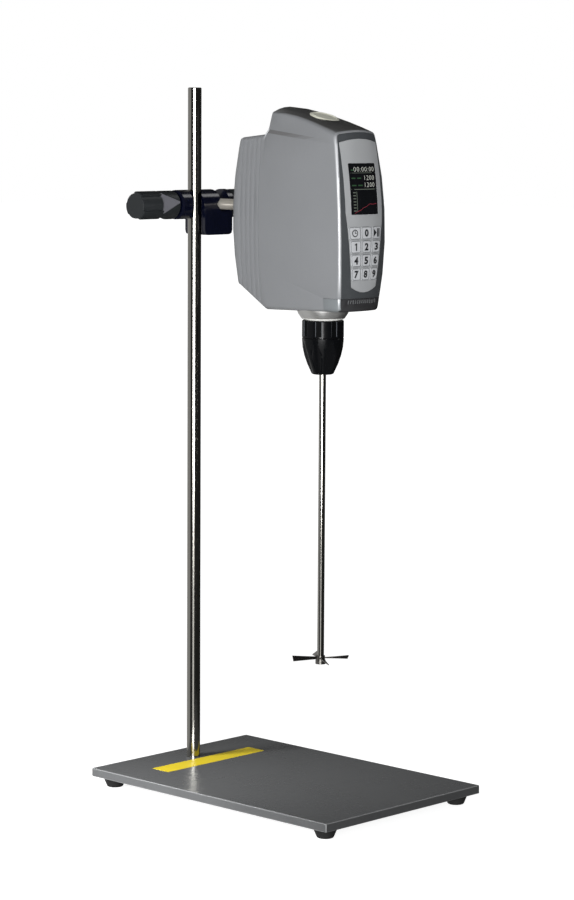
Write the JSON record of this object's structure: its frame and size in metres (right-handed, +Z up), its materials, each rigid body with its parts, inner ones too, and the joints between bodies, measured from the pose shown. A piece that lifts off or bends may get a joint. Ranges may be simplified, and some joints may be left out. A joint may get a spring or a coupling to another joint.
{
  "type": "overhead laboratory stirrer",
  "caption": "Overhead laboratory stirrer: motor head with display and keypad, keyless chuck, long propeller shaft, cross clamp, round post and footed plate stand.",
  "frame": {"origin": "middle of the plate in plan, at the level the rubber feet stand on", "axes": "+Z up along the post, -Y the front with the keypad, +X to the right seen from the front"},
  "size_m": [0.26, 0.38, 0.8218],
  "materials": {
    "stainless_steel": "brushed stainless steel",
    "polished_steel": "polished stainless steel",
    "zinc_screw": "zinc plated steel",
    "gear_steel": "machined steel",
    "cast_aluminium": "cast and machined",
    "satin_aluminium": "satin anodised",
    "navy_enamel": "glossy navy enamel on cast metal",
    "motor_shell": "black painted steel",
    "black_plastic": "moulded, lightly textured",
    "chuck_plastic": "moulded glass filled nylon",
    "silver_housing": "silver grey paint on moulded plastic",
    "grey_bezel": "silver grey paint on moulded plastic",
    "light_panel": "satin printed film",
    "key_skin": "satin",
    "display_glass": "dark glossy window",
    "board_green": "solder resist",
    "silicone": "grey silicone",
    "black_rubber": "matte black rubber",
    "cream_plastic": "moulded cream cap"
  },
  "bodies": {
    "stand": {"base_plate": "stainless_steel", "foot_front_left": "black_rubber", "foot_front_right": "black_rubber", "foot_rear_left": "black_rubber", "foot_rear_right": "black_rubber", "post_screw": "zinc_screw"},
    "column": {"support_post": "stainless_steel"},
    "clamp": {"clamp_body": "navy_enamel"},
    "post_clamp": {"post_knob": "black_plastic", "post_clamp_screw": "zinc_screw"},
    "rod_clamp": {"rod_knob": "black_plastic", "rod_clamp_screw": "zinc_screw"},
    "rod": {"support_rod": "polished_steel"},
    "head": {"housing_shell": "silver_housing", "rear_cover": "silver_housing", "front_bezel": "grey_bezel", "vent_cover": "grey_bezel", "front_panel": "light_panel", "display_window": "display_glass", "display_module": "black_plastic", "key_mat": "silicone", "control_board": "board_green", "drive_frame": "cast_aluminium", "motor_deck": "cast_aluminium", "motor_can": "motor_shell", "lower_bearing": "gear_steel", "upper_bearing": "gear_steel", "neck_ring": "satin_aluminium", "rod_flange": "satin_aluminium", "socket_plate": "black_plastic", "mains_inlet": "black_plastic"},
    "rotor": {"motor_rotor": "gear_steel", "motor_pinion": "gear_steel"},
    "spindle": {"hollow_spindle": "polished_steel", "spindle_gear": "gear_steel", "chuck_body": "gear_steel", "chuck_collar": "chuck_plastic"},
    "sleeve": {"chuck_sleeve": "chuck_plastic"},
    "jaw_1": {"chuck_jaw_1": "polished_steel"},
    "jaw_2": {"chuck_jaw_2": "polished_steel"},
    "jaw_3": {"chuck_jaw_3": "polished_steel"},
    "stirrer": {"stirrer_shaft": "polished_steel", "propeller": "polished_steel"},
    "cap": {"shaft_hole_cap": "cream_plastic"},
    "timer_key": {"key_timer": "key_skin"},
    "digit_0": {"key_0": "key_skin"},
    "start_key": {"key_start": "key_skin"},
    "digit_1": {"key_1": "key_skin"},
    "digit_2": {"key_2": "key_skin"},
    "digit_3": {"key_3": "key_skin"},
    "digit_4": {"key_4": "key_skin"},
    "digit_5": {"key_5": "key_skin"},
    "digit_6": {"key_6": "key_skin"},
    "digit_7": {"key_7": "key_skin"},
    "digit_8": {"key_8": "key_skin"},
    "digit_9": {"key_9": "key_skin"},
    "rocker": {"power_rocker": "black_plastic"}
  },
  "joints": [
    {"name": "column_swivel", "type": "hinge", "parent": "stand", "child": "column", "pos_m": [0, 0.151, 0.2], "axis": [0, 0, 1], "range_deg": [-120, 120]},
    {"name": "clamp_slide", "type": "slide", "parent": "column", "child": "clamp", "axis": [0, 0, 1], "range_m": [-0.1, 0.1]},
    {"name": "post_knob_turn", "type": "hinge", "parent": "clamp", "child": "post_clamp", "pos_m": [-0.04, 0.151, 0.6853], "axis": [-1, 0, 0], "range_deg": [-720, 0]},
    {"name": "rod_knob_turn", "type": "hinge", "parent": "clamp", "child": "rod_clamp", "pos_m": [0.058, 0.151, 0.6853], "axis": [1, 0, 0], "range_deg": [-720, 0]},
    {"name": "rod_slide", "type": "slide", "parent": "clamp", "child": "rod", "axis": [0, 1, 0], "range_m": [-0.01, 0.035]},
    {"name": "head_turn", "type": "hinge", "parent": "rod", "child": "head", "pos_m": [0.03, 0.07, 0.6853], "axis": [0, 1, 0], "range_deg": [-90, 90]},
    {"name": "spindle_turn", "type": "hinge", "parent": "head", "child": "spindle", "pos_m": [0.03, -0.0298, 0.58], "axis": [0, 0, 1], "continuous": true},
    {"name": "rotor_turn", "type": "hinge", "parent": "head", "child": "rotor", "pos_m": [0.03, 0.0062, 0.64], "axis": [0, 0, 1], "continuous": true},
    {"name": "sleeve_turn", "type": "hinge", "parent": "spindle", "child": "sleeve", "pos_m": [0.03, -0.0298, 0.52], "axis": [0, 0, 1], "range_deg": [-900, 0]},
    {"name": "jaw_1_slide", "type": "slide", "parent": "spindle", "child": "jaw_1", "axis": [0.2588, 0, 0.9659], "range_m": [0, 0.004]},
    {"name": "jaw_2_slide", "type": "slide", "parent": "spindle", "child": "jaw_2", "axis": [-0.1294, 0.2241, 0.9659], "range_m": [0, 0.004]},
    {"name": "jaw_3_slide", "type": "slide", "parent": "spindle", "child": "jaw_3", "axis": [-0.1294, -0.2241, 0.9659], "range_m": [0, 0.004]},
    {"name": "shaft_slide", "type": "slide", "parent": "spindle", "child": "stirrer", "axis": [0, 0, 1], "range_m": [-0.02, 0.15]},
    {"name": "cap_lift", "type": "slide", "parent": "head", "child": "cap", "axis": [0, -0.309, 0.9511], "range_m": [0, 0.02]},
    {"name": "timer_key_press", "type": "slide", "parent": "head", "child": "timer_key", "axis": [0, 1, 0], "range_m": [0, 0.0005], "stiffness_N_per_m": 500},
    {"name": "key_0_press", "type": "slide", "parent": "head", "child": "digit_0", "axis": [0, 1, 0], "range_m": [0, 0.0005], "stiffness_N_per_m": 500},
    {"name": "start_key_press", "type": "slide", "parent": "head", "child": "start_key", "axis": [0, 1, 0], "range_m": [0, 0.0005], "stiffness_N_per_m": 500},
    {"name": "key_1_press", "type": "slide", "parent": "head", "child": "digit_1", "axis": [0, 1, 0], "range_m": [0, 0.0005], "stiffness_N_per_m": 500},
    {"name": "key_2_press", "type": "slide", "parent": "head", "child": "digit_2", "axis": [0, 1, 0], "range_m": [0, 0.0005], "stiffness_N_per_m": 500},
    {"name": "key_3_press", "type": "slide", "parent": "head", "child": "digit_3", "axis": [0, 1, 0], "range_m": [0, 0.0005], "stiffness_N_per_m": 500},
    {"name": "key_4_press", "type": "slide", "parent": "head", "child": "digit_4", "axis": [0, 1, 0], "range_m": [0, 0.0005], "stiffness_N_per_m": 500},
    {"name": "key_5_press", "type": "slide", "parent": "head", "child": "digit_5", "axis": [0, 1, 0], "range_m": [0, 0.0005], "stiffness_N_per_m": 500},
    {"name": "key_6_press", "type": "slide", "parent": "head", "child": "digit_6", "axis": [0, 1, 0], "range_m": [0, 0.0005], "stiffness_N_per_m": 500},
    {"name": "key_7_press", "type": "slide", "parent": "head", "child": "digit_7", "axis": [0, 1, 0], "range_m": [0, 0.0005], "stiffness_N_per_m": 500},
    {"name": "key_8_press", "type": "slide", "parent": "head", "child": "digit_8", "axis": [0, 1, 0], "range_m": [0, 0.0005], "stiffness_N_per_m": 500},
    {"name": "key_9_press", "type": "slide", "parent": "head", "child": "digit_9", "axis": [0, 1, 0], "range_m": [0, 0.0005], "stiffness_N_per_m": 500},
    {"name": "rocker_tilt", "type": "hinge", "parent": "head", "child": "rocker", "pos_m": [0.03, 0.0703, 0.6503], "axis": [0, 0, 1], "range_deg": [-14, 0]}
  ],
  "couplings": [
    {"joint": "rotor_turn", "follows": "spindle_turn", "ratio": -3},
    {"joint": "jaw_1_slide", "follows": "sleeve_turn", "m_per_rad": -0.0002546},
    {"joint": "jaw_2_slide", "follows": "sleeve_turn", "m_per_rad": -0.0002546},
    {"joint": "jaw_3_slide", "follows": "sleeve_turn", "m_per_rad": -0.0002546}
  ]
}
